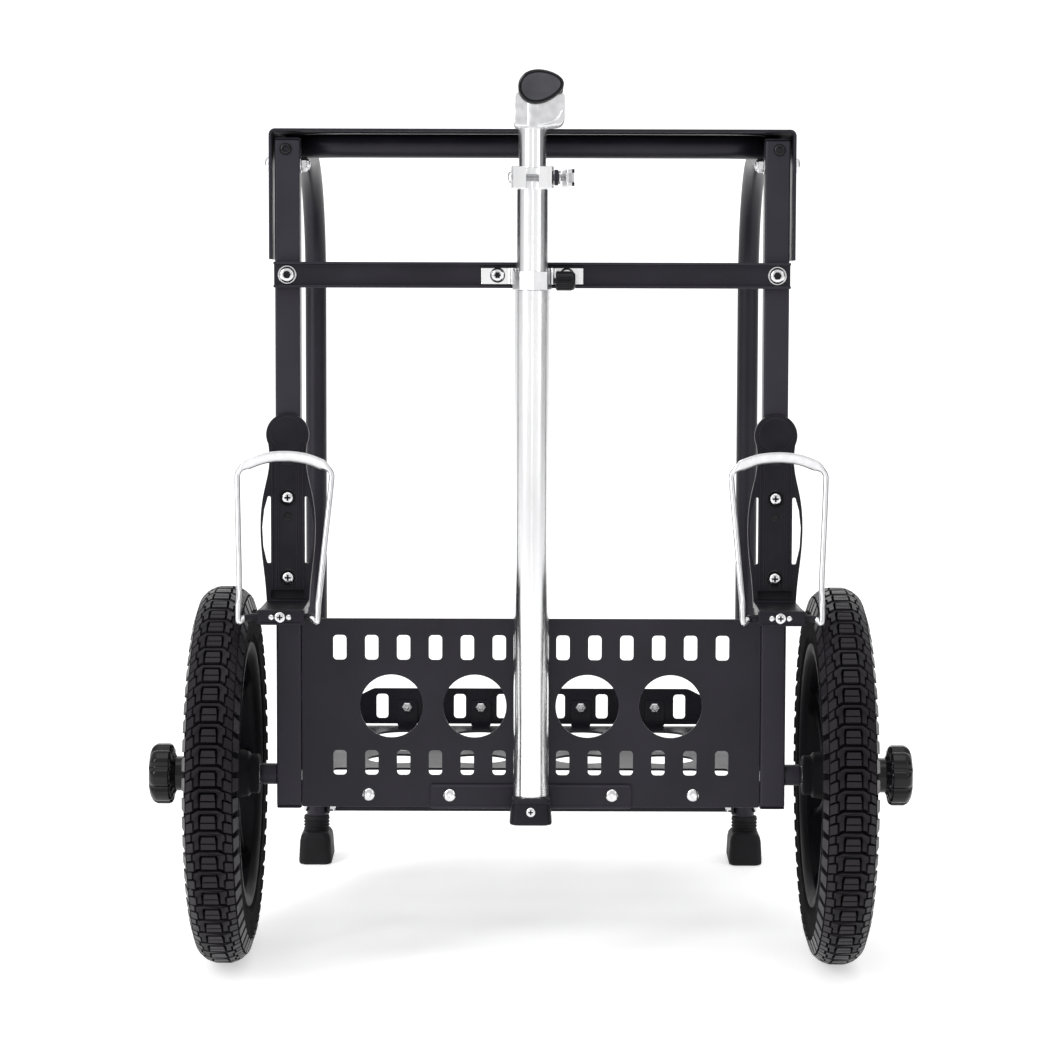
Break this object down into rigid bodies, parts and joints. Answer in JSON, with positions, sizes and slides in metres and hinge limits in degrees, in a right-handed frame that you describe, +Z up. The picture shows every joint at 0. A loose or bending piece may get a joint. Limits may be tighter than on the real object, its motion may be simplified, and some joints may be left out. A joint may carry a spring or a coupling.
{
  "type": "two-wheeled bag push cart",
  "caption": "Two-wheeled push cart for a disc-golf backpack, with a seat on top, a shelf, a telescopic single-pole handle and folding bottle cages.",
  "frame": {"origin": "centre of the bounding box on the ground plane, with the cart standing on its wheels and feet", "axes": "+Z up; +X to the right of someone standing on the handle side; the handle side is -Y and the open front is +Y"},
  "size_m": [0.617, 0.5166, 0.7172],
  "materials": {
    "black_powder_coat": "fine-grained satin black powder coat",
    "bright_aluminium": "bright anodised, drawn along the tube",
    "bright_steel": "zinc-bright steel",
    "black_plastic": "satin moulded",
    "gloss_black_plastic": "gloss moulded",
    "rim_plastic": "satin moulded",
    "black_rubber": "matt moulded rubber",
    "tyre_rubber": "matt foamed rubber, slightly shiny on worn edges"
  },
  "bodies": {
    "frame": {"post_left": "black_powder_coat", "post_cap_top_left": "black_plastic", "post_cap_bottom_left": "black_plastic", "post_right": "black_powder_coat", "post_cap_top_right": "black_plastic", "post_cap_bottom_right": "black_plastic", "frame_loop": "black_powder_coat", "seat": "black_powder_coat", "seat_bolt_left": "bright_steel", "seat_bolt_right": "bright_steel", "crossbar": "black_powder_coat", "crossbar_bolt_left": "bright_steel", "crossbar_bolt_right": "bright_steel", "strap_bracket": "bright_aluminium", "strap_screw_left": "bright_steel", "strap_screw_right": "bright_steel", "lock_collar": "bright_aluminium", "pole_lower": "bright_aluminium", "axle_left": "bright_steel", "axle_spacer_left": "black_powder_coat", "axle_right": "bright_steel", "axle_spacer_right": "black_powder_coat", "back_plate": "black_powder_coat", "shelf": "black_powder_coat", "shelf_lip": "black_powder_coat", "lower_cross_member": "black_powder_coat", "foot_left": "black_rubber", "foot_right": "black_rubber", "base_bracket": "black_powder_coat", "base_cup": "black_plastic", "cage_back_left": "black_plastic", "cage_screw_lower_left": "bright_steel", "cage_screw_upper_left": "bright_steel", "cage_back_right": "black_plastic", "cage_screw_lower_right": "bright_steel", "cage_screw_upper_right": "bright_steel"},
    "lock_knob": {"lock_knob": "gloss_black_plastic"},
    "handle_middle": {"pole_middle": "bright_aluminium", "clamp_collar": "bright_aluminium", "clamp_bolt": "bright_steel", "clamp_washer": "black_plastic"},
    "handle_upper": {"pole_upper": "bright_aluminium", "head_casting": "bright_aluminium", "grip": "black_rubber", "grip_cap": "gloss_black_plastic"},
    "clamp_lever": {"clamp_lever": "bright_steel"},
    "wheel_left": {"tyre_left": "tyre_rubber", "rim_left": "rim_plastic", "wheel_bush_left": "bright_steel"},
    "wheel_knob_left": {"wheel_knob_left": "gloss_black_plastic"},
    "wheel_right": {"tyre_right": "tyre_rubber", "rim_right": "rim_plastic", "wheel_bush_right": "bright_steel"},
    "wheel_knob_right": {"wheel_knob_right": "gloss_black_plastic"},
    "cage_hoop_left": {"cage_hoop_left": "bright_aluminium"},
    "cage_hoop_right": {"cage_hoop_right": "bright_aluminium"}
  },
  "joints": [
    {"name": "wheel_left_spin", "type": "hinge", "parent": "frame", "child": "wheel_left", "pos_m": [-0.246, -0.10577, 0.1525], "axis": [1, 0, 0], "continuous": true},
    {"name": "wheel_knob_left_turn", "type": "hinge", "parent": "frame", "child": "wheel_knob_left", "pos_m": [-0.298, -0.10577, 0.1525], "axis": [-1, 0, 0], "continuous": true},
    {"name": "cage_hoop_left_swing", "type": "hinge", "parent": "frame", "child": "cage_hoop_left", "pos_m": [-0.195, -0.17683, 0.29338], "axis": [1, 0, 0], "range_deg": [0, 45]},
    {"name": "wheel_right_spin", "type": "hinge", "parent": "frame", "child": "wheel_right", "pos_m": [0.246, -0.10577, 0.1525], "axis": [1, 0, 0], "continuous": true},
    {"name": "wheel_knob_right_turn", "type": "hinge", "parent": "frame", "child": "wheel_knob_right", "pos_m": [0.298, -0.10577, 0.1525], "axis": [1, 0, 0], "continuous": true},
    {"name": "cage_hoop_right_swing", "type": "hinge", "parent": "frame", "child": "cage_hoop_right", "pos_m": [0.195, -0.17683, 0.29338], "axis": [1, 0, 0], "range_deg": [0, 45]},
    {"name": "handle_middle_slide", "type": "slide", "parent": "frame", "child": "handle_middle", "axis": [0, 0.0645, 0.9979], "range_m": [0, 0.25]},
    {"name": "handle_upper_slide", "type": "slide", "parent": "handle_middle", "child": "handle_upper", "axis": [0, 0.0645, 0.9979], "range_m": [0, 0.25]},
    {"name": "clamp_lever_open", "type": "hinge", "parent": "handle_middle", "child": "clamp_lever", "pos_m": [0.027, -0.12427, 0.63345], "axis": [0, 0.0645, 0.9979], "range_deg": [-100, 0]},
    {"name": "lock_knob_turn", "type": "hinge", "parent": "frame", "child": "lock_knob", "pos_m": [0.026, -0.1135, 0.55213], "axis": [1, 0, 0], "continuous": true}
  ]
}
